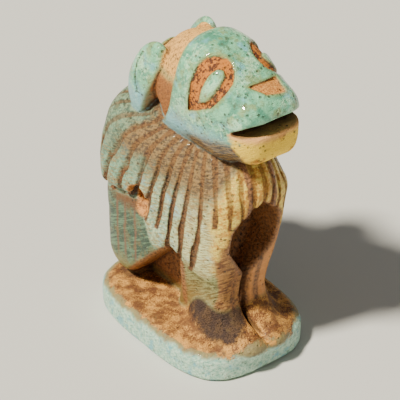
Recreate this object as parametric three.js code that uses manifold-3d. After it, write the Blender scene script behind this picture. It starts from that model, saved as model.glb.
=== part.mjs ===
// Carved amulet: a crouching animal with a grooved mane, on a rounded plinth, drilled from side to side.
// Millimetres, +Z up. The animal faces -Y. The origin is the middle of the plinth's underside.

import * as THREE from 'three';
import { mergeVertices } from 'three/addons/utils/BufferGeometryUtils.js';
import Module from 'manifold-3d';

// Driving dimensions
const plinthLength = 13.2;
const plinthWidth = 9.3;
const plinthHeight = 2.0;
const plinthTopRounding = 0.72;
const plinthFootRounding = 0.32;
const figureHeight = 19.2;
const boreDiameter = 1.44;
const maneGrooves = 34;
const maneGrooveWidth = 0.27;
const maneGrooveDepth = 0.15;
const eyeRingWidth = 0.6;
const eyeRingDepth = 0.17;
const muzzlePatchDepth = 0.16;
const mouthGap = 0.86;
const earBandDepth = 0.24;
const earGrooveWidth = 0.28;
const toeSlitWidth = 0.34;

// Fineness of the carved surface
const sampleStep = 0.15;
const faceBudget = 9200;
const rubbingDepth = 0.01;

// The figure's proportions are in shares of its height: one unit is a 96th of it.
// In these units the plinth's top is at height 10 and the crown is at 106.
const unit = figureHeight / 96;
const plinthLevel = 10;
const boreStation = 9;
const boreLevel = 48;

// Soft minimum and maximum, which blend over the width k

function softMin(a, b, k) {
  const h = Math.max(k - Math.abs(a - b), 0) / k;
  return Math.min(a, b) - h * h * k * 0.25;
}

function softMax(a, b, k) {
  return -softMin(-a, -b, k);
}

function smoothStep(from, to, value) {
  const t = Math.min(Math.max((value - from) / (to - from), 0), 1);
  return t * t * (3 - 2 * t);
}

// Distance to a solid, less than 0 inside it. A lean tips the solid's top towards -Y.

function lens(x, y, z, centre, radii, lean = 0) {
  const c = Math.cos(lean);
  const s = Math.sin(lean);
  const px = x - centre[0];
  const dy = y - centre[1];
  const dz = z - centre[2];
  const py = c * dy + s * dz;
  const pz = c * dz - s * dy;
  const [a, b, h] = radii;
  const k0 = Math.hypot(px / a, py / b, pz / h);
  const k1 = Math.hypot(px / (a * a), py / (b * b), pz / (h * h)) + 1e-9;
  return k0 * (k0 - 1) / k1;
}

function block(x, y, z, centre, half, rounding, lean = 0) {
  const c = Math.cos(lean);
  const s = Math.sin(lean);
  const dy = y - centre[1];
  const dz = z - centre[2];
  const qx = Math.abs(x - centre[0]) - half[0] + rounding;
  const qy = Math.abs(c * dy + s * dz) - half[1] + rounding;
  const qz = Math.abs(c * dz - s * dy) - half[2] + rounding;
  const outside = Math.hypot(Math.max(qx, 0), Math.max(qy, 0), Math.max(qz, 0));
  return outside + Math.min(Math.max(qx, qy, qz), 0) - rounding;
}

function limb(x, y, z, from, to, radiusFrom, radiusTo) {
  const ax = to[0] - from[0];
  const ay = to[1] - from[1];
  const az = to[2] - from[2];
  const px = x - from[0];
  const py = y - from[1];
  const pz = z - from[2];
  const along = (px * ax + py * ay + pz * az) / (ax * ax + ay * ay + az * az);
  const t = Math.min(Math.max(along, 0), 1);
  const away = Math.hypot(px - t * ax, py - t * ay, pz - t * az);
  return away - radiusFrom - (radiusTo - radiusFrom) * t;
}

// Plinth: a rounded oblong slab

function plinth(x, y, z) {
  const power = 3.3;
  const a = plinthWidth / 2 / unit;
  const b = plinthLength / 2 / unit;
  const height = plinthHeight / unit;
  const u = Math.abs(x / a);
  const v = Math.abs(y / b);
  const q = (u ** power + v ** power) ** (1 / power) + 1e-6;
  const slope = Math.hypot(u ** (power - 1) / a, v ** (power - 1) / b) * q ** (1 - power);
  const rim = (q - 1) / Math.max(slope, 1 / a);
  const up = z - plinthLevel + height / 2;
  const r = (up > 0 ? plinthTopRounding : plinthFootRounding) / unit;
  const side = rim + r;
  const cap = Math.abs(up) - height / 2 + r;
  return Math.min(Math.max(side, cap), 0) + Math.hypot(Math.max(side, 0), Math.max(cap, 0)) - r;
}

// Head: skull, cheeks and muzzle, with ears behind a sunk band

const eyeCentre = [9.5, -17.9, 96.1];
const eyeAcross = [-0.983, 0.06, 0.175];
const eyeAlong = [0.108, 0.954, 0.28];

function headMass(x, y, z) {
  const ax = Math.abs(x);
  const crownX = Math.hypot(x, 2);
  const skull = lens(x, y, z, [0, -4, 88.3], [12.6, 18, 16.4], 0.13);
  const crown = lens(crownX, y, z, [4, -10, 94], [8.2, 13, 10.8], -0.25);
  const muzzle = block(x, y, z, [0, -23.5, 86.8], [11.6, 12.3, 10.2], 7, 0.14);
  const snout = lens(x, y, z, [0, -26.5, 90.5], [9, 8.7, 7]);
  const jaw = block(x, y, z, [0, -9, 83], [11.8, 19, 11.8], 7.5, -0.04);
  const chin = block(x, y, z, [0, -27, 81.7], [9.2, 9, 6.2], 4.5);
  const nape = lens(x, y, z, [0, 6, 85], [11.5, 12.2, 13.2]);
  let d = softMin(skull, crown, 6);
  d = softMin(d, muzzle, 9);
  d = softMin(d, snout, 4);
  d = softMin(d, jaw, 4);
  d = softMin(d, chin, 3);
  d = softMin(d, nape, 2);
  const face = -4.8 + 0.019 * Math.max(96 - z, 0) ** 2 - y;
  const earFront = 4.8 + 0.47 * Math.max(92 - z, 0);
  const saddle = 9 * smoothStep(8.5, 6.5, ax);
  const band = Math.max(face, y - earFront - saddle);
  d = softMax(d, -Math.max(band, -d - earBandDepth / unit), 0.8);
  const flare = 0.1 * (y - 12);
  const rise = x > 0 ? 2.4 : 0;
  const ear = lens(ax - flare, y, z - rise, [9.6, 12, 85.2], [3.6, 7.2, 14.2], 0.4);
  return softMin(d, softMax(ear, earFront - y, 1.2), 1);
}

function earGroove(y, z) {
  const off = y - 14.3 + 0.035 * (z - 86.5) ** 2;
  return Math.max(Math.abs(off) - earGrooveWidth / 2 / unit, Math.abs(z - 87.5) - 7);
}

function eyeRing(x, y, z) {
  const px = Math.abs(x) - eyeCentre[0];
  const py = y - eyeCentre[1];
  const pz = z - eyeCentre[2];
  const across = px * eyeAcross[0] + py * eyeAcross[1] + pz * eyeAcross[2];
  const along = px * eyeAlong[0] + py * eyeAlong[1] + pz * eyeAlong[2];
  const width = eyeRingWidth / unit;
  const islandLength = 6.2 - 0.67 * width;
  const islandWidth = 6.2 - 1.32 * width;
  const foot = (80.6 - 0.5 * y - z) * 0.9;
  const island = Math.hypot((across + 0.86) / islandLength, (along + 1.06) / islandWidth) - 1;
  const ring = Math.max(Math.hypot(across, along) - 6.2, foot);
  return Math.max(ring, -Math.max(island * islandWidth, foot + 0.65 * width));
}

function mouth(y, z) {
  const behindLips = y + 36.5;
  const lipLine = 85.9 - 0.33 * (y + 29);
  const gap = (0.08 + 0.42 * smoothStep(9, 0, behindLips)) * mouthGap / unit;
  return 0.9 * Math.max(Math.abs(z - lipLine) - gap, behindLips - 7.5);
}

function nosePatch(x, y, z) {
  const up = z - 99.2 + 0.55 * (y + 33.5);
  const px = x - 1.2;
  const ends = Math.max(-px - 5.2 + 0.8 * (2 - up), px - 5.4 + 0.2 * (2 - up));
  return Math.max(ends, up - 2, -2.3 - 0.22 * px - up, y + 20);
}

function head(x, y, z) {
  let d = headMass(x, y, z);
  d = softMax(d, -Math.max(earGroove(y, z), -d - earGrooveWidth / 2 / unit, 8 - Math.abs(x)), 0.5);
  d = softMax(d, -Math.max(eyeRing(x, y, z), -d - eyeRingDepth / unit), 0.5);
  d = softMax(d, -mouth(y, z), 0.8);
  return softMax(d, -Math.max(nosePatch(x, y, z), -d - muzzlePatchDepth / unit), 0.5);
}

// Mane: a cape over the back, shoulders and chest, with a free lower edge behind the bore

function maneMass(x, y, z) {
  const ax = Math.abs(x);
  const flare = 14 / (13.6 + 2.9 * smoothStep(-20, 10, y));
  const cape = block(x * flare, y, z, [0, 4, 50.5], [14, 29, 20.5], 9, 0.12) * 0.9;
  const hump = lens(x, y, z, [0, 17, 59.5], [14, 19, 18], 0.25);
  const back = lens(x, y, z, [0, 18, 50.5], [17, 21.3, 17]);
  const shoulder = lens(ax, y, z, [5, -14, 53], [9, 14.5, 21], 0.12);
  const chest = lens(x, y, z, [0, -16, 63], [10, 15.5, 13]);
  const collar = lens(x, y, z, [0, 2, 66.5], [14.8, 17, 10]);
  let d = softMin(cape, softMin(back, hump, 6), 6);
  d = softMin(d, shoulder, 5);
  d = softMin(d, collar, 4);
  d = softMin(d, chest, 4);
  const edge = 44.5 + Math.min(Math.max(26 - y, 0), 17) * 0.22;
  const behindBore = edge - z - Math.max(9.5 - y, 0) * 2.2;
  return softMax(d, behindBore * 0.6, 1.2);
}

// The grooves fan out from the neck and follow the cape round to the chest
function maneGroove(x, y, z) {
  const fan = 1 - 0.0065 * (z - 50);
  const station = (y + 0.26 * (z - 50)) / fan;
  const turn = Math.atan2(x / 18, (station - 1) / 31);
  const pitch = 2 * Math.PI / maneGrooves;
  const off = Math.abs(turn / pitch - Math.round(turn / pitch)) * pitch;
  const reach = Math.hypot(x, (station - 1) * 18 / 31) * (1 + 0.5 * Math.abs(Math.sin(turn)));
  const lowest = station > -4 ? 40 : 28 + 24 * smoothStep(-17, -24, station);
  return Math.max(off * reach - maneGrooveWidth / 2 / unit, lowest - z);
}

// Legs: haunches behind, and straight forelegs that run down into the plinth

function haunches(x, y, z) {
  const ax = Math.abs(x);
  const seat = block(ax, y, z, [0, 14, 30.5], [16.2, 20, 21.5], 12, -0.03);
  const thigh = limb(ax, y, z, [5, 15, 28], [6, -1, 38], 9, 7);
  return softMin(seat, thigh, 3);
}

function forelegs(x, y, z) {
  const spread = 1 - 0.0065 * (58 - z);
  const forward = y + 0.16 * (z - 44);
  return block(Math.abs(x) / spread, forward, z, [6.2, -15, 34], [6.6, 10.3, 28], 4) * 0.9;
}

function feet(x, y, z) {
  return limb(Math.abs(x), y, z, [5.8, -16, 14], [4, -30, 7.6], 7, 3);
}

// The space under the belly, between the haunch and the foreleg
function bellyGap(x, y, z) {
  const slope = (z - 31.7 + y) * 0.7;
  let d = Math.max(slope, y - 20, 4.5 - Math.abs(x));
  d = softMax(d, (-5 - y) * 0.9, 1);
  return softMax(d, (z - 35) * 0.9, 4);
}

// The hollow between the forelegs, under the chest
function chestHollow(x, y, z) {
  const ax = Math.abs(x);
  const opening = 0.45 + 0.7 * Math.min(Math.max(z - 30, 0), 13);
  const sides = softMax((ax - opening) * 0.8, ax - 9.5, 3);
  const arch = (z - 59 + 0.8 * ax) * 0.8;
  const floor = (y + 15 - 0.25 * ax) * 0.9;
  return softMax(softMax(sides, arch, 3), floor, 3);
}

function toeSlit(x, y, z) {
  return Math.max(Math.abs(x) - toeSlitWidth / 2 / unit, y + 20, z - 35, plinthLevel + 1 - z);
}

// The bore's lower edge on each side, worn into a dish
function boreWear(x, y, z) {
  return lens(Math.abs(x), y, z, [18.5, boreStation - 0.6, boreLevel - 3.4], [4.5, 3.4, 4.2]);
}

function carvedFigure(x, y, z) {
  const mane = maneMass(x, y, z);
  const grooveDepth = maneGrooveDepth / unit * (1 - 0.7 * smoothStep(58, 68, z));
  const grooved = softMax(mane, -Math.max(maneGroove(x, y, z), -mane - grooveDepth), 0.35);
  const core = block(x, y, z, [0, 4, 34], [6.5, 22, 24], 5);
  const neck = lens(x, y, z, [0, 4, 72], [11.5, 16, 8]);
  const seat = haunches(x, y, z);
  let body = softMin(softMin(Math.min(grooved, neck), core, 1), seat, 1.2);
  body = softMax(body, -bellyGap(x, y, z), 2.5);
  body = softMin(body, forelegs(x, y, z), 3.5);
  body = softMax(body, -chestHollow(x, y, z), 1.5);
  body = softMax(body, -boreWear(x, y, z), 0.8);
  const slab = plinth(x, y, z);
  const blend = 1 + 7 * smoothStep(plinthLevel - 6, plinthLevel, z);
  body = softMin(body, softMin(slab, feet(x, y, z), blend), 1.6 + 3 * smoothStep(-2, -8, y));
  body = softMax(body, -toeSlit(x, y, z), 0.6);
  body = softMin(body, head(x, y, z), 0.8);
  return Math.max(body, plinthLevel - plinthHeight / unit - z);
}

// Surface of the carving: one point for each sheet of surface in each cube of a fine lattice, and one
// four-sided face round each lattice edge whose ends lie on opposite sides of the surface

// An edge of a cube is numbered by its axis and its place on the two axes that follow. A corner is
// a number from 0 to 7, with one bit for each axis.
const axes = [0, 1, 2];
const edgeCorners = axes.flatMap((axis) => [0, 1, 2, 3].map((place) => {
  const from = ((place & 1) << ((axis + 1) % 3)) + ((place >> 1) << ((axis + 2) % 3));
  return [from, from + (1 << axis)];
}));
const edgeBetween = (p, q) => edgeCorners.findIndex((ends) => ends.includes(p) && ends.includes(q));
const cubeFaces = axes.flatMap((axis) => [0, 1].map((side) => {
  const near = side << axis;
  const across = 1 << ((axis + 1) % 3);
  const up = 1 << ((axis + 2) % 3);
  return [near, near + across, near + across + up, near + up];
}));

// The sheets in a cube, from which of its corners are inside: for each edge its sheet's number
function sheetsOf(insideCorners) {
  const isInside = (corner) => ((insideCorners >> corner) & 1) === 1;
  const sheet = edgeCorners.map(([p, q], edge) => (isInside(p) === isInside(q) ? -1 : edge));
  const join = (p, q) => {
    const [kept, gone] = [sheet[p], sheet[q]];
    sheet.forEach((number, edge) => {
      sheet[edge] = number === gone ? kept : number;
    });
  };
  for (const face of cubeFaces) {
    const sides = face.map((corner, at) => edgeBetween(corner, face[(at + 1) % 4]));
    const crossed = sides.filter((edge) => sheet[edge] >= 0);
    if (crossed.length === 2) {
      join(...crossed);
    } else if (crossed.length === 4) {
      face.forEach((corner, at) => isInside(corner) && join(sides[at], sides[(at + 3) % 4]));
    }
  }
  const numbers = [...new Set(sheet.filter((number) => number >= 0))];
  return { sheet: sheet.map((number) => numbers.indexOf(number)), count: numbers.length };
}

// Distances at the lattice's nodes, in groups of 4 x 4 x 4: a group far from the surface gets the
// distance at its middle
function latticeValues(distance, low, [nx, ny, nz], step) {
  const group = 4;
  const values = new Float64Array(nx * ny * nz);
  const at = (node, axis) => low[axis] + node * step;
  const middle = (node, axis) => at(node + (group - 1) / 2, axis);
  for (let k = 0; k < nz; k += group) {
    for (let j = 0; j < ny; j += group) {
      for (let i = 0; i < nx; i += group) {
        const whole = distance(middle(i, 0), middle(j, 1), middle(k, 2));
        const isFar = Math.abs(whole) > 1.5 * group * step;
        for (let c = k; c < Math.min(k + group, nz); c += 1) {
          for (let b = j; b < Math.min(j + group, ny); b += 1) {
            for (let a = i; a < Math.min(i + group, nx); a += 1) {
              values[a + nx * (b + ny * c)] = isFar ? whole : distance(at(a, 0), at(b, 1), at(c, 2));
            }
          }
        }
      }
    }
  }
  return values;
}

function surfaceOf(distance, low, high, step) {
  const size = axes.map((axis) => Math.ceil((high[axis] - low[axis]) / step) + 1);
  const stride = [1, size[0], size[0] * size[1]];
  const values = latticeValues(distance, low, size, step);
  const offsets = [0, 1, 2, 3, 4, 5, 6, 7].map((corner) => (
    (corner & 1) * stride[0] + ((corner >> 1) & 1) * stride[1] + (corner >> 2) * stride[2]));
  const tables = Array.from({ length: 256 }, (_, insideCorners) => sheetsOf(insideCorners));
  const kinds = new Uint8Array(values.length);
  const firstPoint = new Int32Array(values.length);
  const positions = [];
  const faces = [];

  function addPoints(cell, place) {
    const { sheet, count } = tables[kinds[cell]];
    firstPoint[cell] = positions.length / 3;
    for (let number = 0; number < count; number += 1) {
      const sum = [0, 0, 0];
      let crossings = 0;
      edgeCorners.forEach(([p, q], edge) => {
        if (sheet[edge] === number) {
          const t = values[cell + offsets[p]] / (values[cell + offsets[p]] - values[cell + offsets[q]]);
          axes.forEach((axis) => {
            sum[axis] += ((p >> axis) & 1) * (1 - t) + ((q >> axis) & 1) * t;
          });
          crossings += 1;
        }
      });
      axes.forEach((axis) => {
        positions.push(low[axis] + step * (place[axis] + sum[axis] / crossings));
      });
    }
  }

  const gap = (p, q) => Math.hypot(...axes.map((axis) => positions[3 * p + axis] - positions[3 * q + axis]));

  function addFace(node, axis) {
    const goesIn = values[node] >= 0;
    const across = stride[(axis + 1) % 3];
    const up = stride[(axis + 2) % 3];
    const ring = [[0, 0], [1, 0], [1, 1], [0, 1]].map(([b, c]) => {
      const cell = node - b * across - c * up;
      return firstPoint[cell] + tables[kinds[cell]].sheet[axis * 4 + b + 2 * c];
    });
    const [p, q, r, s] = goesIn ? ring.reverse() : ring;
    if (gap(p, r) < gap(q, s)) {
      faces.push(p, q, r, p, r, s);
    } else {
      faces.push(q, r, s, q, s, p);
    }
  }

  for (let k = 0; k < size[2] - 1; k += 1) {
    for (let j = 0; j < size[1] - 1; j += 1) {
      for (let i = 0; i < size[0] - 1; i += 1) {
        const cell = i + stride[1] * j + stride[2] * k;
        for (let corner = 0; corner < 8; corner += 1) {
          kinds[cell] += values[cell + offsets[corner]] < 0 ? 1 << corner : 0;
        }
        if (kinds[cell] > 0 && kinds[cell] < 255) {
          addPoints(cell, [i, j, k]);
        }
      }
    }
  }
  for (let node = 0; node < values.length; node += 1) {
    for (const axis of axes) {
      if (kinds[node] > 0 && kinds[node] < 255 && (values[node] < 0) !== (values[node + stride[axis]] < 0)) {
        addFace(node, axis);
      }
    }
  }
  return { positions, faces };
}

function less(a, b) {
  return [a[0] - b[0], a[1] - b[1], a[2] - b[2]];
}

function dot(a, b) {
  return a[0] * b[0] + a[1] * b[1] + a[2] * b[2];
}

function cross(a, b) {
  return [a[1] * b[2] - a[2] * b[1], a[2] * b[0] - a[0] * b[2], a[0] * b[1] - a[1] * b[0]];
}

// A queue that gives its cheapest item first
class CheapestFirst {
  constructor() {
    this.items = [];
  }

  push(item) {
    const { items } = this;
    let at = items.length;
    items.push(item);
    while (at > 0) {
      const parent = (at - 1) >> 1;
      if (items[parent].cost <= item.cost) {
        break;
      }
      items[at] = items[parent];
      at = parent;
    }
    items[at] = item;
  }

  pop() {
    const { items } = this;
    const best = items[0];
    const last = items.pop();
    const size = items.length;
    let at = 0;
    while (size > 0) {
      let child = 2 * at + 1;
      if (child >= size) {
        break;
      }
      if (child + 1 < size && items[child + 1].cost < items[child].cost) {
        child += 1;
      }
      if (items[child].cost >= last.cost) {
        break;
      }
      items[at] = items[child];
      at = child;
    }
    if (size > 0) {
      items[at] = last;
    }
    return best;
  }
}

// Fewer faces: edges shrink to a point, first where that moves the surface least. Each point keeps
// the sum of its faces' planes as ten numbers, which give its squared distance to all of them.
function simplified({ positions, faces }, budget) {
  const points = Array.from({ length: positions.length / 3 }, (_, v) => positions.slice(v * 3, v * 3 + 3));
  const triangles = Array.from({ length: faces.length / 3 }, (_, f) => faces.slice(f * 3, f * 3 + 3));
  const planes = points.map(() => new Float64Array(10));
  const fans = points.map(() => []);
  const changes = new Int32Array(points.length);
  const queue = new CheapestFirst();
  let left = triangles.length;

  const normalOf = ([a, b, c]) => cross(less(b, a), less(c, a));
  triangles.forEach((triangle, index) => {
    const corners = triangle.map((vertex) => points[vertex]);
    const normal = normalOf(corners);
    const area = Math.hypot(...normal) + 1e-12;
    const [x, y, z] = normal.map((value) => value / area);
    const w = -dot([x, y, z], corners[0]);
    const plane = [x * x, x * y, x * z, x * w, y * y, y * z, y * w, z * z, z * w, w * w];
    for (const vertex of triangle) {
      fans[vertex].push(index);
      plane.forEach((value, at) => {
        planes[vertex][at] += value * area;
      });
    }
  });

  function offer(a, b) {
    const q = planes[a].map((value, at) => value + planes[b][at]);
    const p = points[a];
    const r = points[b];
    const middle = [(p[0] + r[0]) / 2, (p[1] + r[1]) / 2, (p[2] + r[2]) / 2];
    const hold = 1e-3 * (q[0] + q[4] + q[7]) + 1e-12;
    const [xx, xy, xz, yy, yz, zz] = [q[0] + hold, q[1], q[2], q[4] + hold, q[5], q[7] + hold];
    const [bx, by, bz] = [hold * middle[0] - q[3], hold * middle[1] - q[6], hold * middle[2] - q[8]];
    const cx = yy * zz - yz * yz;
    const cy = xz * yz - xy * zz;
    const cz = xy * yz - xz * yy;
    const scale = 1 / (xx * cx + xy * cy + xz * cz);
    const x = (bx * cx + by * cy + bz * cz) * scale;
    const y = (bx * cy + by * (xx * zz - xz * xz) + bz * (xy * xz - xx * yz)) * scale;
    const z = (bx * cz + by * (xy * xz - xx * yz) + bz * (xx * yy - xy * xy)) * scale;
    const moved = q[0] * x * x + q[4] * y * y + q[7] * z * z + q[9]
      + 2 * (q[1] * x * y + q[2] * x * z + q[5] * y * z + q[3] * x + q[6] * y + q[8] * z);
    const edge = less(p, r);
    const cost = moved + 1e-4 * dot(edge, edge) ** 2;
    queue.push({ cost, a, b, stamp: changes[a] + changes[b], target: [x, y, z] });
  }

  const ringOf = (vertex) => {
    const ring = new Set(fans[vertex].flatMap((index) => triangles[index]));
    ring.delete(vertex);
    return ring;
  };

  function keepsItsSide(index, vertex, target) {
    const corners = triangles[index].map((corner) => points[corner]);
    const before = normalOf(corners);
    corners[triangles[index].indexOf(vertex)] = target;
    const after = normalOf(corners);
    const size = Math.hypot(...after);
    const longest = Math.max(...axes.map((at) => Math.hypot(...less(corners[at], corners[(at + 1) % 3]))));
    return dot(before, after) > 0.25 * Math.hypot(...before) * size && size > 0.04 * longest * longest;
  }

  function collapse({ a, b, target }) {
    const shared = fans[a].filter((index) => triangles[index].includes(b));
    const ringA = ringOf(a);
    const common = [...ringOf(b)].filter((vertex) => ringA.has(vertex));
    const restA = fans[a].filter((index) => !shared.includes(index));
    const restB = fans[b].filter((index) => !shared.includes(index));
    const sound = shared.length === 2 && common.length === 2
      && restA.every((index) => keepsItsSide(index, a, target))
      && restB.every((index) => keepsItsSide(index, b, target));
    if (!sound) {
      return;
    }
    points[a] = target;
    planes[b].forEach((value, at) => {
      planes[a][at] += value;
    });
    restB.forEach((index) => {
      triangles[index] = triangles[index].map((vertex) => (vertex === b ? a : vertex));
    });
    common.forEach((vertex) => {
      fans[vertex] = fans[vertex].filter((index) => !shared.includes(index));
    });
    shared.forEach((index) => {
      triangles[index] = null;
    });
    fans[a] = [...restA, ...restB];
    fans[b] = [];
    changes[b] += 1;
    changes[a] += 1;
    left -= 2;
    ringOf(a).forEach((vertex) => offer(a, vertex));
  }

  triangles.forEach((triangle) => {
    triangle.forEach((vertex, at) => {
      const next = triangle[(at + 1) % 3];
      if (vertex < next) {
        offer(vertex, next);
      }
    });
  });
  while (left > budget && queue.items.length > 0) {
    const item = queue.pop();
    if (item.stamp === changes[item.a] + changes[item.b] && fans[item.a].length && fans[item.b].length) {
      collapse(item);
    }
  }
  const kept = triangles.filter((triangle) => triangle).flat();
  const used = [...new Set(kept)];
  const places = new Map(used.map((vertex, place) => [vertex, place]));
  return {
    positions: used.flatMap((vertex) => points[vertex]),
    faces: kept.map((vertex) => places.get(vertex)),
  };
}

// Solids

const wasm = await Module();
wasm.setup();

function solidOf(geometry) {
  const bare = geometry.clone();
  bare.deleteAttribute('normal');
  bare.deleteAttribute('uv');
  const merged = mergeVertices(bare, 1e-5);
  const vertProperties = new Float32Array(merged.getAttribute('position').array);
  const triVerts = new Uint32Array(merged.getIndex().array);
  return new wasm.Manifold(new wasm.Mesh({ numProp: 3, vertProperties, triVerts }));
}

function geometryOf({ positions, faces }) {
  const geometry = new THREE.BufferGeometry();
  geometry.setAttribute('position', new THREE.BufferAttribute(new Float32Array(positions), 3));
  geometry.setIndex(faces);
  geometry.computeVertexNormals();
  return geometry;
}

function carvedGeometry() {
  const halfWidth = Math.max(plinthWidth / 2 / unit, 20) + 2;
  const halfLength = Math.max(plinthLength / 2 / unit, 40) + 2;
  const low = [-halfWidth, -halfLength, plinthLevel - plinthHeight / unit - 2];
  const high = [halfWidth, halfLength, 109];
  const geometry = geometryOf(surfaceOf(carvedFigure, low, high, sampleStep / unit));
  geometry.scale(unit, unit, unit);
  geometry.translate(0, 0, plinthHeight - plinthLevel * unit);
  return geometry;
}

function boreGeometry() {
  const radius = boreDiameter / 2;
  const geometry = new THREE.CylinderGeometry(radius, radius, 2 * Math.max(plinthWidth, 40 * unit), 28);
  geometry.rotateZ(Math.PI / 2);
  geometry.translate(0, boreStation * unit, plinthHeight + (boreLevel - plinthLevel) * unit);
  return geometry;
}

// The underside is rubbed flat
function rubbedFlat({ positions, faces }) {
  const isLow = (value, at) => at % 3 === 2 && Math.abs(value) < rubbingDepth;
  return { positions: positions.map((value, at) => (isLow(value, at) ? 0 : value)), faces };
}

const { vertProperties, triVerts } = solidOf(carvedGeometry()).subtract(solidOf(boreGeometry())).getMesh();
const fewer = simplified({ positions: [...vertProperties], faces: [...triVerts] }, faceBudget);
const finished = rubbedFlat(fewer);

const glazedStone = new THREE.MeshStandardMaterial({ color: 0x9fc6b8, roughness: 0.45, metalness: 0 });
const amulet = new THREE.Mesh(geometryOf(finished), glazedStone);
amulet.name = 'amulet';

const part = new THREE.Group();
part.add(amulet);

export default part;
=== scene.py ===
"""A carved and glazed stone amulet: a seated animal on a rounded plinth, in the CAD model's frame."""
import math

import bpy
import numpy as np
from mathutils import Matrix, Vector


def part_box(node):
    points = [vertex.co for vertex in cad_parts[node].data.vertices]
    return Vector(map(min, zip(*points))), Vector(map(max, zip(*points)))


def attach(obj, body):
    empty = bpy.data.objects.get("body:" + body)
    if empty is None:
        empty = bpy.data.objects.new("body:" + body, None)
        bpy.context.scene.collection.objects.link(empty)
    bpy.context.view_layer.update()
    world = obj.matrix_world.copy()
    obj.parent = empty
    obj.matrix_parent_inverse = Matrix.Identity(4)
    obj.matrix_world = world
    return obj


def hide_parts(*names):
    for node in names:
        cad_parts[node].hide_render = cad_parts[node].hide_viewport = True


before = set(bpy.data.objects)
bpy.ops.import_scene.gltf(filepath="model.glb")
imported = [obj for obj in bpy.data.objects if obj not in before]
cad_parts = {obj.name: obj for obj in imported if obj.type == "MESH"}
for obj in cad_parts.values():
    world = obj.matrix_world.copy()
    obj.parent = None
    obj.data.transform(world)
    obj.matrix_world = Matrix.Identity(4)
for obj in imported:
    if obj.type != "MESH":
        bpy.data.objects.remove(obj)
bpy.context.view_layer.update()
box_low, box_high = (np.array(corner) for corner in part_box("amulet"))

# The carving's unit is a 96th of the figure's height. In units, the plinth's underside is at 0,
# its top at 10 and the crown at 105.86.
CROWN = 105.86
UNIT = (box_high[2] - box_low[2]) / CROWN
PLINTH_TOP = 10.0
PLINTH_HALF_WIDTH = (box_high[0] - box_low[0]) / 2 / UNIT
PLINTH_HALF_LENGTH = 33.0
PLINTH_TOP_ROUNDING = 3.6
PLINTH_FOOT_ROUNDING = 1.6
BORE_STATION = 9.0
BORE_LEVEL = 48.0
BORE_RADIUS = 3.6
GROOVE_COUNT = 34
GROOVE_WIDTH = 1.45
GROOVE_DEPTH = 0.75
BAND_DEPTH = 1.2
EAR_GROOVE_DEPTH = 0.7
EYE_RING_DEPTH = 0.85
MUZZLE_PATCH_DEPTH = 0.8
# The far ear stands higher than the near one, and the muzzle patch lies to the far side
FAR_EAR_RISE = 2.4
MUZZLE_PATCH_SHIFT = 1.2

# The lattice that the surface is read from: its step, its corners and the nodes along a group's edge
LATTICE_STEP = 0.6
LATTICE_LOW = np.array([-24.6, -42.6, -1.6])
LATTICE_HIGH = np.array([24.6, 42.6, 108.0])
LATTICE_GROUP = 4


# Distances


def soft_min(a, b, k):
    h = np.maximum(k - np.abs(a - b), 0) / k
    return np.minimum(a, b) - h * h * k * 0.25


def soft_max(a, b, k):
    return -soft_min(-a, -b, k)


def smooth_step(start, end, value):
    t = np.clip((value - start) / (end - start), 0, 1)
    return t * t * (3 - 2 * t)


def tipped(y, z, centre, lean):
    c, s = math.cos(lean), math.sin(lean)
    dy, dz = y - centre[1], z - centre[2]
    return c * dy + s * dz, c * dz - s * dy


def lens(x, y, z, centre, radii, lean=0.0):
    """Distance to an ellipsoid whose top leans towards -Y."""
    px = x - centre[0]
    py, pz = tipped(y, z, centre, lean)
    a, b, c = radii
    near = np.sqrt((px / a) ** 2 + (py / b) ** 2 + (pz / c) ** 2)
    steep = np.sqrt((px / a**2) ** 2 + (py / b**2) ** 2 + (pz / c**2) ** 2) + 1e-9
    return near * (near - 1) / steep


def block(x, y, z, centre, half, rounding, lean=0.0):
    """Distance to a box with rounded edges."""
    py, pz = tipped(y, z, centre, lean)
    qx = np.abs(x - centre[0]) - half[0] + rounding
    qy = np.abs(py) - half[1] + rounding
    qz = np.abs(pz) - half[2] + rounding
    outside = np.sqrt(np.maximum(qx, 0) ** 2 + np.maximum(qy, 0) ** 2 + np.maximum(qz, 0) ** 2)
    return outside + np.minimum(np.maximum(qx, np.maximum(qy, qz)), 0) - rounding


def limb(x, y, z, start, end, start_radius, end_radius):
    """Distance to a tapering limb."""
    a = np.array(start)
    along = np.array(end) - a
    t = (x - a[0]) * along[0] + (y - a[1]) * along[1] + (z - a[2]) * along[2]
    t = np.clip(t / (along @ along), 0, 1)
    away = np.sqrt((x - a[0] - t * along[0]) ** 2 + (y - a[1] - t * along[1]) ** 2
                   + (z - a[2] - t * along[2]) ** 2)
    return away - start_radius - (end_radius - start_radius) * t


def grain(x, y, z, size, seed=0.0):
    """Smooth random values from -1 to 1, in lumps of about that size."""
    cell = [np.floor(v / size) for v in (x, y, z)]
    part = [v / size - c for v, c in zip((x, y, z), cell)]
    ease = [p * p * (3 - 2 * p) for p in part]
    total = 0.0
    for corner in range(8):
        bits = [corner & 1, corner >> 1 & 1, corner >> 2]
        key = sum((c + bit) * k for c, bit, k in zip(cell, bits, (127.1, 311.7, 74.7)))
        value = np.sin(key + seed * 17.3) * 43758.5453
        share = np.prod([e if bit else 1 - e for e, bit in zip(ease, bits)], axis=0)
        total = total + share * (value - np.floor(value))
    return total * 2 - 1


# The carving


def plinth_rim(x, y):
    """Distance out from the plinth's side."""
    power = 3.3
    u = np.abs(x / PLINTH_HALF_WIDTH)
    v = np.abs(y / PLINTH_HALF_LENGTH)
    q = (u**power + v**power) ** (1 / power) + 1e-6
    slope = np.hypot(u ** (power - 1) / PLINTH_HALF_WIDTH, v ** (power - 1) / PLINTH_HALF_LENGTH)
    return (q - 1) / np.maximum(slope * q ** (1 - power), 1 / PLINTH_HALF_WIDTH)


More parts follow.
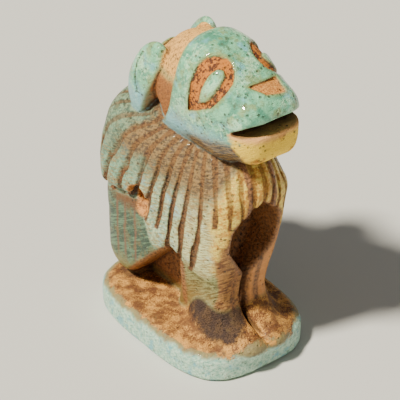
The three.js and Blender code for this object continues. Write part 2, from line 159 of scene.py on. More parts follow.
def plinth(x, y, z):
    up = z - PLINTH_TOP / 2
    rounding = np.where(up > 0, PLINTH_TOP_ROUNDING, PLINTH_FOOT_ROUNDING)
    side = plinth_rim(x, y) + rounding
    cap = np.abs(up) - PLINTH_TOP / 2 + rounding
    outside = np.hypot(np.maximum(side, 0), np.maximum(cap, 0))
    return np.minimum(np.maximum(side, cap), 0) + outside - rounding


def ear_front(z):
    """Where the sunk band ends and the ear begins."""
    return 4.8 + 0.47 * np.maximum(92 - z, 0)


def face_back(z):
    """Where the face ends and the sunk band begins."""
    return -4.8 + 0.019 * np.maximum(96 - z, 0) ** 2


def band_mark(x, y, z):
    """Below 0 in the band, which widens to a saddle between the ears."""
    saddle = 9 * smooth_step(8.5, 6.5, np.abs(x))
    return np.maximum(face_back(z) - y, y - ear_front(z) - saddle)


def ear_groove(y, z):
    off = y - 14.3 + 0.035 * (z - 86.5) ** 2
    return np.maximum(np.abs(off) - 0.7, np.abs(z - 87.5) - 7)


EYE_CENTRE = (9.5, -17.9, 96.1)
EYE_ACROSS = (-0.983, 0.06, 0.175)
EYE_ALONG = (0.108, 0.954, 0.28)


def eye_mark(x, y, z):
    """Below 0 in the ring round the eye."""
    offset = (np.abs(x) - EYE_CENTRE[0], y - EYE_CENTRE[1], z - EYE_CENTRE[2])
    across = sum(o * e for o, e in zip(offset, EYE_ACROSS))
    along = sum(o * e for o, e in zip(offset, EYE_ALONG))
    island = (np.hypot((across + 0.86) / 4.2, (along + 1.06) / 2.24) - 1) * 2.24
    foot = (80.6 - 0.5 * y - z) * 0.9
    ring = np.maximum(np.hypot(across, along) - 6.2, foot)
    return np.maximum(ring, -np.maximum(island, foot + 1.95))


def lip_line(y):
    return 85.9 - 0.33 * (y + 29)


def mouth_mark(y, z):
    behind = y + 36.5
    gap = 0.34 + 1.81 * smooth_step(9, 0, behind)
    return 0.9 * np.maximum(np.abs(z - lip_line(y)) - gap, behind - 7.5)


def muzzle_mark(x, y, z):
    """Below 0 in the patch over the nose, which sits a little to the far side."""
    up = z - 99.2 + 0.55 * (y + 33.5)
    px = x - MUZZLE_PATCH_SHIFT
    ends = np.maximum(-px - 5.2 + 0.8 * (2 - up), px - 5.4 + 0.2 * (2 - up))
    sides = np.maximum(up - 2, -2.3 - 0.22 * px - up)
    return np.maximum(np.maximum(ends, sides), y + 20)


def head(x, y, z):
    ax = np.abs(x)
    skull = lens(x, y, z, (0, -4, 88.3), (12.6, 18, 16.4), 0.13)
    crown = lens(np.hypot(x, 2), y, z, (4, -10, 94), (8.2, 13, 10.8), -0.25)
    muzzle = block(x, y, z, (0, -23.5, 86.8), (11.6, 12.3, 10.2), 7, 0.14)
    snout = lens(x, y, z, (0, -26.5, 90.5), (9, 8.7, 7))
    jaw = block(x, y, z, (0, -9, 83), (11.8, 19, 11.8), 7.5, -0.04)
    chin = block(x, y, z, (0, -27, 81.7), (9.2, 9, 6.2), 4.5)
    nape = lens(x, y, z, (0, 6, 85), (11.5, 12.2, 13.2))
    d = soft_min(soft_min(skull, crown, 6), muzzle, 9)
    d = soft_min(soft_min(d, snout, 4), jaw, 4)
    d = soft_min(soft_min(d, chin, 3), nape, 2)
    d = soft_max(d, -np.maximum(band_mark(x, y, z), -d - BAND_DEPTH), 0.8)
    rise = np.where(x > 0, FAR_EAR_RISE, 0)
    ear = lens(ax - 0.1 * (y - 12), y, z - rise, (9.6, 12, 85.2), (3.6, 7.2, 14.2), 0.4)
    d = soft_min(d, soft_max(ear, ear_front(z) - y, 1.2), 1)
    d = soft_max(d, -np.maximum(np.maximum(ear_groove(y, z), -d - EAR_GROOVE_DEPTH), 8 - ax), 0.5)
    d = soft_max(d, -np.maximum(eye_mark(x, y, z), -d - EYE_RING_DEPTH), 0.5)
    d = soft_max(d, -mouth_mark(y, z), 0.8)
    return soft_max(d, -np.maximum(muzzle_mark(x, y, z), -d - MUZZLE_PATCH_DEPTH), 0.5)


def mane_mass(x, y, z):
    flare = 14 / (13.6 + 2.9 * smooth_step(-20, 10, y))
    cape = block(x * flare, y, z, (0, 4, 50.5), (14, 29, 20.5), 9, 0.12) * 0.9
    hump = lens(x, y, z, (0, 17, 59.5), (14, 19, 18), 0.25)
    back = lens(x, y, z, (0, 18, 50.5), (17, 21.3, 17))
    shoulder = lens(np.abs(x), y, z, (5, -14, 53), (9, 14.5, 21), 0.12)
    chest = lens(x, y, z, (0, -16, 63), (10, 15.5, 13))
    d = soft_min(cape, soft_min(back, hump, 6), 6)
    collar = lens(x, y, z, (0, 2, 66.5), (14.8, 17, 10))
    d = soft_min(soft_min(soft_min(d, shoulder, 5), chest, 4), collar, 4)
    edge = 44.5 + np.clip(26 - y, 0, 17) * 0.22
    behind_bore = edge - z - np.maximum(9.5 - y, 0) * 2.2
    return soft_max(d, behind_bore * 0.6, 1.2)


def station_of(y, z):
    """Place along the flank, the same all the way down one groove."""
    return (y + 0.26 * (z - 50)) / (1 - 0.0065 * (z - 50))


def groove_mark(x, y, z):
    """Distance from the edge of the nearest mane groove."""
    station = station_of(y, z)
    turn = np.arctan2(x / 18, (station - 1) / 31)
    pitch = 2 * math.pi / GROOVE_COUNT
    wander = 0.022 * grain(x, y, z, 9.0, 3.0)
    off = np.abs((turn + wander) / pitch - np.round((turn + wander) / pitch)) * pitch
    reach = np.hypot(x, (station - 1) * 18 / 31) * (1 + 0.5 * np.abs(np.sin(turn)))
    lowest = np.where(station > -4, 40.0, 28 + 24 * smooth_step(-17, -24, station))
    width = GROOVE_WIDTH * (1 + 0.35 * grain(x, y, z, 5.0, 5.0))
    return np.maximum(off * reach - width / 2, lowest - z)


def haunches(x, y, z):
    ax = np.abs(x)
    seat = block(ax, y, z, (0, 14, 30.5), (16.2, 20, 21.5), 12, -0.03)
    return soft_min(seat, limb(ax, y, z, (5, 15, 28), (6, -1, 38), 9, 7), 3)


def forelegs(x, y, z):
    spread = 1 - 0.0065 * (58 - z)
    return block(np.abs(x) / spread, y + 0.16 * (z - 44), z, (6.2, -15, 34), (6.6, 10.3, 28), 4) * 0.9


def feet(x, y, z):
    return limb(np.abs(x), y, z, (5.8, -16, 14), (4, -30, 7.6), 7, 3)


def belly_gap(x, y, z):
    d = np.maximum(np.maximum((z - 31.7 + y) * 0.7, y - 20), 4.5 - np.abs(x))
    return soft_max(soft_max(d, (-5 - y) * 0.9, 1), (z - 35) * 0.9, 4)


def chest_hollow(x, y, z):
    ax = np.abs(x)
    opening = 0.45 + 0.7 * np.clip(z - 30, 0, 13)
    sides = soft_max((ax - opening) * 0.8, ax - 9.5, 3)
    arch = (z - 59 + 0.8 * ax) * 0.8
    return soft_max(soft_max(sides, arch, 3), (y + 15 - 0.25 * ax) * 0.9, 3)


def toe_slit(x, y, z):
    d = np.maximum(np.abs(x) - 0.85, y + 20)
    return np.maximum(np.maximum(d, z - 35), PLINTH_TOP + 1 - z)


def bore_wear(x, y, z):
    """The bore's lower edge on each side, worn into a dish."""
    return lens(np.abs(x), y, z, (18.5, BORE_STATION - 0.6, BORE_LEVEL - 3.4), (4.5, 3.4, 4.2))


def body(x, y, z):
    mane = mane_mass(x, y, z)
    depth = GROOVE_DEPTH * (1 - 0.7 * smooth_step(58, 68, z))
    mane = soft_max(mane, -np.maximum(groove_mark(x, y, z), -mane - depth), 0.35)
    core = block(x, y, z, (0, 4, 34), (6.5, 22, 24), 5)
    neck = lens(x, y, z, (0, 4, 72), (11.5, 16, 8))
    d = soft_min(soft_min(np.minimum(mane, neck), core, 1), haunches(x, y, z), 1.2)
    d = soft_max(d, -belly_gap(x, y, z), 2.5)
    d = soft_min(d, forelegs(x, y, z), 3.5)
    d = soft_max(d, -chest_hollow(x, y, z), 1.5)
    return soft_max(d, -bore_wear(x, y, z), 0.8)


def mounds(x, y, z):
    """The plinth with the feet running down into it."""
    blend = 1 + 7 * smooth_step(PLINTH_TOP - 6, PLINTH_TOP, z)
    return soft_min(plinth(x, y, z), feet(x, y, z), blend)


def amulet(x, y, z):
    d = soft_min(body(x, y, z), mounds(x, y, z), 1.6 + 3 * smooth_step(-2, -8, y))
    d = soft_max(d, -toe_slit(x, y, z), 0.6)
    d = soft_min(d, head(x, y, z), 0.8)
    bore = np.hypot(y - BORE_STATION, z - BORE_LEVEL) - BORE_RADIUS
    d = soft_max(d, -bore, 0.6)
    d = d + 0.16 * grain(x, y, z, 6.5, 1.0) + 0.06 * grain(x, y, z, 2.2, 2.0)
    return np.maximum(d, -z)


# Mesh of the carving


def lattice_values(low, size, step):
    """The distance at every lattice node: exact near the surface, rough far from it."""
    group = LATTICE_GROUP
    rough_axes = [low[a] + step * (np.arange(0, size[a], group) + (group - 1) / 2) for a in range(3)]
    rough = amulet(*np.meshgrid(*rough_axes, indexing="ij"))
    values = rough
    for axis in range(3):
        values = np.repeat(values, group, axis=axis)
    near = np.argwhere(np.abs(rough) < 1.5 * group * step)
    within = np.stack(np.meshgrid(*[np.arange(group)] * 3, indexing="ij"), -1).reshape(-1, 3)
    nodes = (near[:, None] * group + within[None]).reshape(-1, 3)
    places = low + step * nodes
    values[tuple(nodes.T)] = amulet(*places.T)
    return values


def surface(low, high, step):
    """Points and four-sided faces of the surface: one point in each lattice cell that it crosses."""
    cover = step * LATTICE_GROUP
    size = [LATTICE_GROUP * math.ceil((high[a] - low[a]) / cover) for a in range(3)]
    values = lattice_values(low, size, step)
    inside = values < 0
    cells = [n - 1 for n in size]
    corners = [(i, j, k) for i in (0, 1) for j in (0, 1) for k in (0, 1)]
    count = sum(inside[i:cells[0] + i, j:cells[1] + j, k:cells[2] + k].astype(np.int8)
                for i, j, k in corners)
    crossed = np.argwhere((count > 0) & (count < 8))
    number = np.full(cells, -1, np.int32)
    number[tuple(crossed.T)] = np.arange(len(crossed))
    total = np.zeros((len(crossed), 3))
    hits = np.zeros(len(crossed))
    for axis in range(3):
        others = [a for a in range(3) if a != axis]
        for first in (0, 1):
            for second in (0, 1):
                start = np.zeros(3, int)
                start[others[0]], start[others[1]] = first, second
                end = start.copy()
                end[axis] = 1
                a = values[tuple((crossed + start).T)]
                b = values[tuple((crossed + end).T)]
                cut = (a < 0) != (b < 0)
                t = np.where(cut, a / np.where(cut, a - b, 1), 0)
                place = crossed + start + t[:, None] * (end - start)
                total += place * cut[:, None]
                hits += cut
    points = low + step * total / hits[:, None]
    faces = []
    for axis in range(3):
        b, c = (axis + 1) % 3, (axis + 2) % 3
        step_to = np.zeros(3, int)
        step_to[axis] = 1
        upper = np.roll(inside, -1, axis)
        node = np.argwhere(inside != upper)
        node = node[(node[:, b] > 0) & (node[:, c] > 0) & (node < np.array(cells)).all(1)]
        ring = []
        for back_b, back_c in ((0, 0), (1, 0), (1, 1), (0, 1)):
            cell = node.copy()
            cell[:, b] -= back_b
            cell[:, c] -= back_c
            ring.append(number[tuple(cell.T)])
        ring = np.stack(ring, 1)
        leaves = inside[tuple(node.T)]
        faces.append(np.where(leaves[:, None], ring, ring[:, ::-1]))
    return points, np.concatenate(faces)


def slope_at(points, reach=0.2):
    x, y, z = points.T
    slope = np.stack([
        amulet(x + reach, y, z) - amulet(x - reach, y, z),
        amulet(x, y + reach, z) - amulet(x, y - reach, z),
        amulet(x, y, z + reach) - amulet(x, y, z - reach)], 1)
    return slope / (np.linalg.norm(slope, axis=1, keepdims=True) + 1e-9)


def settled(points):
    """The points moved onto the surface itself."""
    for _ in range(2):
        normals = slope_at(points)
        away = np.clip(amulet(*points.T), -0.35, 0.35)
        points = points - normals * away[:, None] * 0.9
    points[:, 2] = np.where(points[:, 2] < 0.12, 0.0, points[:, 2])
    return points


# Marks for the finish, one value at each point, in units or from 0 to 1


def openness(points, normals):
    """How hollow and how proud each point lies, from the distance in front of it and behind it."""
    hollow = 0.0
    proud = 0.0
    for reach in (1.0, 2.5, 5.0):
        front = amulet(*(points + normals * reach).T)
        behind = amulet(*(points - normals * reach).T)
        hollow = hollow + np.clip(1 - front / reach, 0, 1) / 3
        proud = proud + np.clip(1 + behind / reach, 0, 1) / 3
    return hollow, proud


def marks_of(points, normals):
    x, y, z = points.T
    ax = np.abs(x)
    d_head, d_body, d_mounds = head(x, y, z), body(x, y, z), mounds(x, y, z)
    is_head = smooth_step(0.5, -0.5, d_head - np.minimum(d_body, d_mounds))
    is_plinth = smooth_step(1.0, -1.0, d_mounds - d_body) * (1 - is_head)
    d_mane = mane_mass(x, y, z)
    d_legs = forelegs(x, y, z)
    is_mane = smooth_step(2.6, 1.4, np.abs(d_mane + 0.4)) * (1 - is_head) * (1 - is_plinth)
    is_leg = smooth_step(0.8, -0.8, d_legs - d_mane) * (1 - is_head) * (1 - is_plinth)
    inner = np.minimum(np.abs(chest_hollow(x, y, z)), np.abs(belly_gap(x, y, z)))
    inner = np.where(ax < 5.2, np.minimum(inner, np.abs(ax - 4.5)), inner)
    hollow, proud = openness(points, normals)
    above_lip = z - lip_line(y)
    bore_mark = np.hypot(y - BORE_STATION, z - BORE_LEVEL) - BORE_RADIUS
    return {
        "head": is_head,
        "plinth": is_plinth,
        "mane": is_mane,
        "leg": is_leg,
        "inner": smooth_step(1.6, 0.6, inner) * (1 - is_head) * smooth_step(11, 14, z),
        "inset": -plinth_rim(x, y),
        "hollow": hollow,
        "proud": proud,
        "station": station_of(y, z),
        "upward": normals[:, 2],
        "forward": -normals[:, 1],
        "groove": np.where((is_mane > 0.5) | (is_leg > 0.5), groove_mark(x, y, z), 9),
        "ring": np.where(is_head > 0.5, eye_mark(x, y, z), 9),
        "muzzle_patch": np.where(is_head > 0.5, muzzle_mark(x, y, z), 9),
        "band": np.where(is_head > 0.5, band_mark(x, y, z), 9),
        "mouth": np.where(is_head > 0.5, mouth_mark(y, z), 9),
        "lip": is_head * smooth_step(1.5, -0.5, above_lip) * smooth_step(-24.5, -30.5, y - 0.5 * above_lip),
        "jaw": is_head * smooth_step(82.5, 78.5, z + 0.25 * (y + 20)) * smooth_step(-4, -12, y),
        "bore": smooth_step(0.8, 0.1, np.minimum(bore_mark, bore_wear(x, y, z))),
    }


def make_amulet():
    points, faces = surface(LATTICE_LOW, LATTICE_HIGH, LATTICE_STEP)
    points = settled(points)
    marks = marks_of(points, slope_at(points))
    mesh = bpy.data.meshes.new("carved_amulet")
    mesh.vertices.add(len(points))
    mesh.vertices.foreach_set("co", (points * UNIT).astype(np.float32).ravel())
    mesh.loops.add(faces.size)
    mesh.loops.foreach_set("vertex_index", faces.astype(np.int32).ravel())
    mesh.polygons.add(len(faces))
    mesh.polygons.foreach_set("loop_start", np.arange(0, faces.size, 4, dtype=np.int32))
    mesh.polygons.foreach_set("use_smooth", np.ones(len(faces), bool))
    for name, values in marks.items():
        layer = mesh.attributes.new(name, "FLOAT", "POINT")
        layer.data.foreach_set("value", np.broadcast_to(values, len(points)).astype(np.float32))
    mesh.update()
    mesh.validate()
    carving = bpy.data.objects.new("carved_amulet", mesh)
    bpy.context.collection.objects.link(carving)
    return carving


# Shader maths


def linear(hex_colour):
    """A colour written as six hex digits, in linear light."""
    parts = [int(hex_colour[i:i + 2], 16) / 255 for i in (0, 2, 4)]
    return [((p + 0.055) / 1.055) ** 2.4 if p > 0.04045 else p / 12.92 for p in parts] + [1.0]


class Value:
    """A number made in a material's node tree, which adds and multiplies as a number does."""

    def __init__(self, tree, socket):
        self.tree = tree
        self.socket = socket

    def math(self, operation, *others):
        node = self.tree.nodes.new("ShaderNodeMath")
        node.operation = operation
        for place, item in enumerate((self, *others)):
            if isinstance(item, Value):
                self.tree.links.new(item.socket, node.inputs[place])
            else:
                node.inputs[place].default_value = item
        return Value(self.tree, node.outputs[0])

    def __add__(self, other):
        return self.math("ADD", other)

    def __sub__(self, other):
        return self.math("SUBTRACT", other)

    def __mul__(self, other):
        return self.math("MULTIPLY", other)

    __radd__ = __add__

    def __rsub__(self, other):
        return self.math("MULTIPLY_ADD", -1.0, other)

    def lowest(self, other):
        return self.math("MINIMUM", other)

    def highest(self, other):
        return self.math("MAXIMUM", other)

    def ramp(self, start, end):
        """0 at the start, 1 at the end and smooth between them."""
        node = self.tree.nodes.new("ShaderNodeMapRange")
        node.interpolation_type = "SMOOTHSTEP"
        self.tree.links.new(self.socket, node.inputs["Value"])
        node.inputs["From Min"].default_value = start
        node.inputs["From Max"].default_value = end
        if start > end:
            node.inputs["From Min"].default_value = end
            node.inputs["From Max"].default_value = start
            node.inputs["To Min"].default_value = 1.0
            node.inputs["To Max"].default_value = 0.0
        return Value(self.tree, node.outputs[0])

    def near(self, centre, width):
        """1 at the centre, falling to 0 at a width on each side."""
        return (self - centre).math("ABSOLUTE").ramp(width, 0.0)


class Paint:
    """Makes the nodes of one material."""

    def __init__(self, name, unit):
        self.material = bpy.data.materials.new(name)
        self.material.use_nodes = True
        self.tree = self.material.node_tree
        self.shader = self.tree.nodes["Principled BSDF"]
        place = self.tree.nodes.new("ShaderNodeTexCoord").outputs["Object"]
        self.place = self.vector("SCALE", place, scale=1 / unit)
        split = self.tree.nodes.new("ShaderNodeSeparateXYZ")
        self.tree.links.new(self.place, split.inputs[0])
        self.x, self.y, self.z = (Value(self.tree, output) for output in split.outputs)

    def vector(self, operation, source, by=None, scale=None):
        node = self.tree.nodes.new("ShaderNodeVectorMath")
        node.operation = operation
        self.tree.links.new(source, node.inputs[0])
        if by is not None:
            node.inputs[1].default_value = by
        if scale is not None:
            node.inputs["Scale"].default_value = scale
        return node.outputs[0]

    def stretched(self, by, turn=(0, 0, 0)):
        """Coordinates turned and then stretched, for marks that run one way."""
        node = self.tree.nodes.new("ShaderNodeVectorRotate")
        node.rotation_type = "EULER_XYZ"
        self.tree.links.new(self.place, node.inputs["Vector"])
        node.inputs["Rotation"].default_value = turn
        return self.vector("MULTIPLY", node.outputs[0], by=by)

    def mark(self, name):
        node = self.tree.nodes.new("ShaderNodeAttribute")
        node.attribute_name = name
        return Value(self.tree, node.outputs["Fac"])

    def noise(self, size, detail=3.0, rough=0.55, place=None, shift=0.0):
        """Random values about 0.5, in lumps of about that many units."""
        source = self.place if place is None else place
        if shift:
            source = self.vector("ADD", source, by=(shift, shift * 0.7, -shift))
        node = self.tree.nodes.new("ShaderNodeTexNoise")
        self.tree.links.new(source, node.inputs["Vector"])
        node.inputs["Scale"].default_value = 1 / size
        node.inputs["Detail"].default_value = detail
        node.inputs["Roughness"].default_value = rough
        return Value(self.tree, node.outputs["Fac"])

    def cells(self, size):
        """Distance from the middle of the nearest of many scattered spots."""
        node = self.tree.nodes.new("ShaderNodeTexVoronoi")
        self.tree.links.new(self.place, node.inputs["Vector"])
        node.inputs["Scale"].default_value = 1 / size
        return Value(self.tree, node.outputs["Distance"])

    def colour(self, factor, first, second):
        """The first colour where the factor is 0, the second where it is 1."""
        node = self.tree.nodes.new("ShaderNodeMix")
        node.data_type = "RGBA"
        node.clamp_factor = True
        if isinstance(factor, Value):
            self.tree.links.new(factor.socket, node.inputs[0])
        else:
            node.inputs[0].default_value = factor
        for place, item in ((6, first), (7, second)):
            if isinstance(item, str):
                node.inputs[place].default_value = linear(item)
            else:
                self.tree.links.new(item, node.inputs[place])
        return node.outputs[2]

    def finish(self, colour, roughness, coat, height, depth):
        tree, shader = self.tree, self.shader
        tree.links.new(colour, shader.inputs["Base Color"])
        tree.links.new(roughness.socket, shader.inputs["Roughness"])
        tree.links.new(coat.socket, shader.inputs["Coat Weight"])
        bump = tree.nodes.new("ShaderNodeBump")
        bump.inputs["Distance"].default_value = depth
        bump.inputs["Strength"].default_value = 1.0
        tree.links.new(height.socket, bump.inputs["Height"])
        tree.links.new(bump.outputs[0], shader.inputs["Normal"])
        return self.material


# The finish

# Places along Y of the brown lines down the haunch
HAUNCH_LINES = (21.0, 17.1, 11.7)
# The dark stain by the near foot: its middle, and how fast it fades along X and Y
STAIN_CENTRE = (-7.5, -18.5)
STAIN_FADE = (0.13, 0.085)
# The smaller stain by the far foot
FAR_STAIN_CENTRE = (12.0, -22.0)
FAR_STAIN_FADE = 0.2


class Weathering:
    """The random values and the marks that the whole finish shares."""

    def __init__(self, p):
        self.broad = p.noise(9, 3)
        self.middle = p.noise(3.2, 4, shift=11)
        self.fine = p.noise(0.9, 4, 0.65, shift=23)
        self.dust = p.noise(0.35, 2, 0.6, shift=37)
        self.patchy = p.noise(5.0, 5, 0.62, shift=61)
        self.uneven = (self.broad - 0.5) * 0.9 + (self.middle - 0.5) * 0.8 + (self.fine - 0.5) * 0.5
        self.gritty = self.fine + self.dust - 0.5

        # Fine chisel lines: slanting on the legs and haunches, across the mane's ridges and level
        # under the jaw
        self.slant = p.noise(1.0, 3, 0.6, p.stretched((0.4, 0.16, 1.7), (0.55, 0.0, 0.0)))
        self.across = p.noise(1.0, 2, 0.5, p.stretched((0.5, 0.35, 2.0), (0.25, 0.0, 0.0)), shift=15)
        self.jaw_lines = p.noise(1.0, 2, 0.5, p.stretched((0.3, 0.3, 2.2), (0.35, 0.0, 0.0)), shift=9)

        self.head, self.plinth = p.mark("head"), p.mark("plinth")
        self.mane, self.leg = p.mark("mane"), p.mark("leg")
        self.haunch = (1.0 - self.mane) * (1.0 - self.leg)
        self.forward = p.mark("forward")
        self.lip = p.mark("lip")
        self.inset = p.mark("inset")
        self.neck = (p.z + self.uneven * 14).ramp(53, 64)


def full_glaze(p, w):
    """The blue-green glaze of the head, with its greener, bluer and browner places."""
    glaze = p.colour(w.middle.ramp(0.35, 0.65), "4f9c7c", "8ad8a8")
    glaze = p.colour((w.fine + w.broad - 0.5).ramp(0.48, 0.7), glaze, "bdf2c4")
    glaze = p.colour(p.noise(5.5, 3, shift=51).ramp(0.54, 0.7) * 0.7, glaze, "7fc9d4")
    glaze = p.colour(w.patchy.ramp(0.52, 0.64) * 0.6, glaze, "99a25c")
    return p.colour(p.noise(2.2, 5, 0.7, shift=131).ramp(0.55, 0.66) * 0.75, glaze, "4f5c3c")


def worn_glaze(p, w):
    """The paler glaze of the mane's ridges."""
    pale = p.colour(w.fine.ramp(0.35, 0.65), "7fa286", "cfddb0")
    return p.colour(p.noise(4.0, 3, shift=81).ramp(0.52, 0.68) * 0.6, pale, "93cbd8")


def mane_skin(p, w, pale):
    """Pale at the side, teal at the back, ochre on the chest and brown round the neck."""
    station = p.mark("station")
    rear = p.colour((w.middle + w.fine - 0.5).ramp(0.35, 0.65), "44705c", "86b898")
    skin = p.colour((p.y + w.uneven * 14).ramp(2, 20) * 0.9, pale, rear)
    skin = p.colour((station + w.uneven * 8).ramp(-4, -16) * 0.55, skin, "efe39c")
    skin = p.colour((w.across * 0.6 + w.patchy * 0.5).ramp(0.52, 0.64) * 0.75, skin, "a07c40")
    ochre = p.colour((w.fine + w.patchy - 0.5).ramp(0.35, 0.65), "d8962c", "ffe268")
    chest = (station + w.uneven * 4).ramp(-21.5, -25)
    skin = p.colour(chest, skin, ochre)
    neck_skin = p.colour((w.fine + w.across - 0.5).ramp(0.35, 0.62), "52341a", "93713f")
    neck_skin = p.colour((w.broad - 0.5 + p.y * 0.02).ramp(0.1, 0.35) * 0.6, neck_skin, rear)
    return p.colour(w.neck * (1.0 - chest * 0.9) * 0.95, skin, neck_skin)


def with_forelegs(p, w, skin):
    """The shins, olive at the side and brown in front, with painted light brightening the far leg's front,
    and their front brown carried up the hollow between them under the chest's edge as painted shade.
    """
    shin = p.colour((w.slant * 0.7 + w.fine * 0.3).ramp(0.42, 0.56), "4c4e2a", "a1a670")
    shin = p.colour((p.z + w.uneven * 10).ramp(34, 16) * 0.85, shin, "86682f")
    shin_front = p.colour((w.slant * 0.5 + w.patchy * 0.5).ramp(0.42, 0.58), "6a3f1d", "b98444")
    # Painted light: the far leg's front is made a brighter orange, as if the key light fell on it
    shin_front = p.colour(p.x.ramp(0.0, 3.0) * 0.7, shin_front, "f0a050")
    shin = p.colour((w.forward + w.uneven * 0.5).ramp(0.45, 0.75), shin, shin_front)
    skin = p.colour(w.leg * (p.z + w.uneven * 6).ramp(54, 44), skin, shin)
    # Painted shade: front-facing places below the chest's edge take the shins' front brown
    chest_edge = p.z + p.x.math("ABSOLUTE") * 0.95 - 55.0
    facing_front = (w.forward + w.uneven * 0.4).ramp(0.5, 0.75)
    shade_under_chest = (chest_edge + w.uneven * 5).ramp(2.0, -2.0) * facing_front
    return p.colour(shade_under_chest, skin, shin_front)


def haunch_skin(p, w):
    """Dull teal with brown lines down it, brown under the mane and olive at the foot."""
    haunch = p.colour(w.slant.ramp(0.42, 0.6), "2e4636", "617f60")
    for line_y in HAUNCH_LINES:
        line = (p.y - line_y + w.uneven * 1.2).near(0.0, 1.0) * (p.z + w.uneven * 9).ramp(18, 24)
        haunch = p.colour(line * 0.85, haunch, "7a4f33")
    haunch = p.colour(w.patchy.ramp(0.5, 0.62) * 0.5, haunch, "7a6a3a")
    haunch = p.colour((p.z + w.uneven * 8).ramp(39, 44), haunch, "6a431e")
    return p.colour((p.z + w.uneven * 8).ramp(24, 14), haunch, "8d8340")


def plinth_skin(p, w):
    """Bare brown stone on top with two dark stains, and glaze down the side."""
    top = p.colour((w.middle + w.dust - 0.5).ramp(0.35, 0.65), "70421e", "dea04c")
    top = p.colour(w.patchy.ramp(0.5, 0.62) * 0.8, top, "6a3f20")
    stain_x = (p.x - STAIN_CENTRE[0]) * STAIN_FADE[0]
    stain_y = (p.y - STAIN_CENTRE[1]) * STAIN_FADE[1]
    stain = (stain_x * stain_x + stain_y * stain_y + w.uneven * 0.7).ramp(1.0, 0.6)
    top = p.colour(stain * 0.9, top, p.colour(w.dust.ramp(0.4, 0.6), "1a100f", "382a28"))
    far_x = (p.x - FAR_STAIN_CENTRE[0]) * FAR_STAIN_FADE
    far_y = (p.y - FAR_STAIN_CENTRE[1]) * FAR_STAIN_FADE
    far_stain = far_x.near(0.0, 1.0) * (far_y + w.uneven).near(0.0, 1.0)
    top = p.colour(far_stain * 0.7, top, "5b3b2a")
    rim = p.colour(w.fine.ramp(0.3, 0.65), "7cb49e", "cdead2")
    rim = p.colour(p.noise(3.5, 4, shift=91).ramp(0.5, 0.68) * 0.8, rim, "6cb2c0")
    rim = p.colour((p.z + w.uneven * 3).ramp(7.4, 9.0) * 0.85, rim, "8d6e26")
    front_rim = (p.y + w.uneven * 4).ramp(-26, -31)
    bare_top = (w.inset + w.uneven * 4.0 + front_rim * 1.6).ramp(1.3, 2.1)
    return p.colour(bare_top * (p.z + w.uneven * 2.5).ramp(6.6, 8.0), rim, top)


def face_skin(p, w, glaze, pale):
    """Glaze, bluer at its lower edge, with brown lines under the jaw and a yellow lip."""
    face = p.colour((p.mark("proud") + w.uneven * 0.4).ramp(0.75, 1.0) * 0.35, glaze, pale)
    face = p.colour((p.z + w.uneven * 8).ramp(86, 79) * 0.7, face, "86c4da")
    under_jaw = p.colour(w.jaw_lines.ramp(0.44, 0.56), "33200f", "806434")
    face = p.colour(p.mark("jaw") * (w.middle + 0.45).ramp(0.3, 0.7), face, under_jaw)
    lip = p.colour(w.patchy.ramp(0.48, 0.64), "ffd440", "c0801f")
    lip = p.colour((p.z + w.uneven * 3.0).ramp(83.0, 85.5), lip, "f0b068")
    return p.colour((w.lip + w.uneven * 1.2).ramp(0.35, 0.8), face, lip)


def with_cuts(p, w, skin):
    """The sunk band, the ring round the eye, the muzzle patch and the mane's grooves, and where they lie."""
    edge = p.mark("band").lowest(p.mark("ring")).lowest(p.mark("muzzle_patch"))
    skin = p.colour(w.head * (edge + w.uneven * 1.2).ramp(1.6, 0.2) * 0.6, skin, "94a055")
    band_skin = p.colour((p.z + w.uneven * 4).ramp(88.5, 93.0), "a8682f", "ffbe62")
    band_skin = p.colour(w.gritty.ramp(0.48, 0.62) * 0.6, band_skin, "6b3f28")
    band_skin = p.colour((p.z + w.uneven * 3).near(91.5, 2.2) * 0.6, band_skin, "a3a46a")
    band = w.head * (p.mark("band") + w.uneven * 0.8).ramp(0.5, -0.5)
    skin = p.colour(band, skin, band_skin)
    ring = (p.mark("ring") + w.uneven * 0.9).ramp(0.3, -0.2)
    skin = p.colour(ring, skin, p.colour((w.fine + w.middle - 0.5).ramp(0.45, 0.6), "cf7c2a", "582c18"))
    patch = (p.mark("muzzle_patch") + w.uneven * 0.8).ramp(0.4, -0.4)
    skin = p.colour(patch, skin, p.colour(w.gritty.ramp(0.35, 0.65), "b06a2e", "f0a852"))
    groove = (p.mark("groove") + w.uneven * 0.9).ramp(0.4, -0.2)
    groove_skin = p.colour(w.fine.ramp(0.35, 0.6), "422410", "7c4a22")
    skin = p.colour(groove * (0.95 - w.neck * 0.35), skin, groove_skin)
    return skin, groove.highest(band).highest(ring).highest(patch)


def with_openings(p, w, skin):
    """The mouth painted dark as shade, with its tan floor, and the hole with its worn edge."""
    # Painted shade: the mouth is near-black, except for the tan floor near its front where it faces up
    in_mouth = (p.mark("mouth") + w.uneven * 0.3).ramp(0.3, -0.4)
    mouth_floor = (p.y + w.uneven).ramp(-32.5, -34.5) * p.mark("upward").ramp(0.3, 0.7)
    skin = p.colour(in_mouth, skin, p.colour(mouth_floor, "1f130c", "d69d6c"))
    bore_skin = p.colour(w.fine.ramp(0.35, 0.6), "8a5426", "e09a4e")
    return p.colour(p.mark("bore") * (1.0 - w.head), skin, bore_skin)


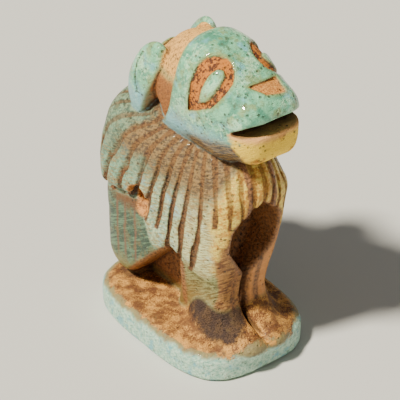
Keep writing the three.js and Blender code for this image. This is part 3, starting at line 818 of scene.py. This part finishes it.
def glazed_stone():
    """Pale blue-green glaze over brown stone: worn on the high places, dark in the cuts."""
    p = Paint("glazed_stone", UNIT)
    w = Weathering(p)
    glaze, pale = full_glaze(p, w), worn_glaze(p, w)
    skin = with_forelegs(p, w, mane_skin(p, w, pale))
    skin = p.colour(w.haunch, skin, haunch_skin(p, w))
    # The chest hollow and the belly gap in brown: partly the bare stone, partly painted shade in these
    # recesses
    skin = p.colour(p.mark("inner"), skin, p.colour(w.fine.ramp(0.35, 0.6), "5c3c1e", "a87040"))
    skin = p.colour(w.plinth, skin, plinth_skin(p, w))
    skin = p.colour(w.head, skin, face_skin(p, w, glaze, pale))
    skin, cuts = with_cuts(p, w, skin)

    # Painted shade darkening the hollows, then pits and specks
    hollow_shade = (p.mark("hollow") + w.uneven * 0.35).ramp(0.45, 0.85)
    skin = with_openings(p, w, p.colour(hollow_shade * 0.75, skin, "4a2d1a"))
    specks = p.cells(1.9).ramp(0.27, 0.14) * p.noise(4.0, 2, shift=71).ramp(0.42, 0.58)
    skin = p.colour(specks * (0.7 - w.plinth * 0.45), skin, "3b3020")
    scratches = (w.fine + w.middle - 0.5).ramp(0.6, 0.75) * w.patchy.ramp(0.45, 0.6)
    skin = p.colour(scratches * 0.6, skin, "6e5a36")

    bare = (w.plinth * w.inset.ramp(1.0, 3.0)).highest(hollow_shade).highest(cuts).highest(w.lip)
    gloss = 1.0 - bare
    roughness = 0.8 - gloss * (0.3 + w.head * 0.1) + (w.fine - 0.5) * 0.25
    coat = gloss * (w.head * 0.5 + 0.1)
    lines = w.slant * (w.haunch + w.leg).lowest(1.0) * 0.5 + w.across * w.mane * 0.5
    relief = w.fine * 0.5 + w.dust * 0.3 + w.middle * 0.35 + lines + specks * -0.5
    return p.finish(skin, roughness, coat, relief, UNIT * 0.7)


# Floor, light and camera


def make_floor():
    half = 1.2
    mesh = bpy.data.meshes.new("floor")
    corners = [(-half, -half, 0), (half, -half, 0), (half, half, 0), (-half, half, 0)]
    mesh.from_pydata(corners, [], [(0, 1, 2, 3)])
    floor = bpy.data.objects.new("floor", mesh)
    bpy.context.collection.objects.link(floor)
    material = bpy.data.materials.new("floor")
    material.use_nodes = True
    shader = material.node_tree.nodes["Principled BSDF"]
    shader.inputs["Base Color"].default_value = linear("d9d7d2")
    shader.inputs["Roughness"].default_value = 0.9
    mesh.materials.append(material)


def make_light():
    sun = bpy.data.lights.new("key", "SUN")
    sun.energy = 6.6
    sun.angle = math.radians(7)
    sun.color = (1.0, 0.95, 0.80)
    key = bpy.data.objects.new("key", sun)
    bpy.context.collection.objects.link(key)
    towards = -0.47 * CAMERA_RIGHT + 0.50 * CAMERA_UP + 0.72 * CAMERA_BACK
    key.matrix_world = facing(towards)
    world = bpy.data.worlds.new("studio")
    world.use_nodes = True
    world.node_tree.nodes["Background"].inputs["Color"].default_value = (1.0, 0.98, 0.94, 1)
    world.node_tree.nodes["Background"].inputs["Strength"].default_value = 0.2
    bpy.context.scene.world = world


def facing(back):
    """A turn whose own +Z points along that direction."""
    back = back / np.linalg.norm(back)
    right = np.cross((0, 0, 1), back)
    right = right / np.linalg.norm(right)
    up = np.cross(back, right)
    return Matrix([[*row, 0] for row in np.stack([right, up, back], 1).tolist()] + [[0, 0, 0, 1]])


AZIMUTH = math.radians(37.3)
ELEVATION = math.radians(33.0)
CAMERA_BACK = np.array([
    -math.sin(AZIMUTH) * math.cos(ELEVATION),
    -math.cos(AZIMUTH) * math.cos(ELEVATION),
    math.sin(ELEVATION)])
CAMERA_RIGHT = np.array([math.cos(AZIMUTH), -math.sin(AZIMUTH), 0.0])
CAMERA_UP = np.cross(CAMERA_BACK, CAMERA_RIGHT)
CAMERA_AIM = 37.3 * CAMERA_UP
CAMERA_DISTANCE = 634.9
LENS_PER_FRAME = 5.0


def make_camera():
    data = bpy.data.cameras.new("camera")
    data.sensor_fit = "HORIZONTAL"
    data.sensor_width = 36.0
    data.lens = data.sensor_width * LENS_PER_FRAME
    data.clip_start = 0.001
    data.clip_end = 20.0
    camera = bpy.data.objects.new("camera", data)
    bpy.context.collection.objects.link(camera)
    place = (CAMERA_AIM + CAMERA_DISTANCE * CAMERA_BACK) * UNIT
    camera.matrix_world = Matrix.Translation(place.tolist()) @ facing(CAMERA_BACK)
    bpy.context.scene.camera = camera


make_camera()
make_light()
make_floor()
carving = make_amulet()
carving.data.materials.append(glazed_stone())
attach(carving, "root")
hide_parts("amulet")
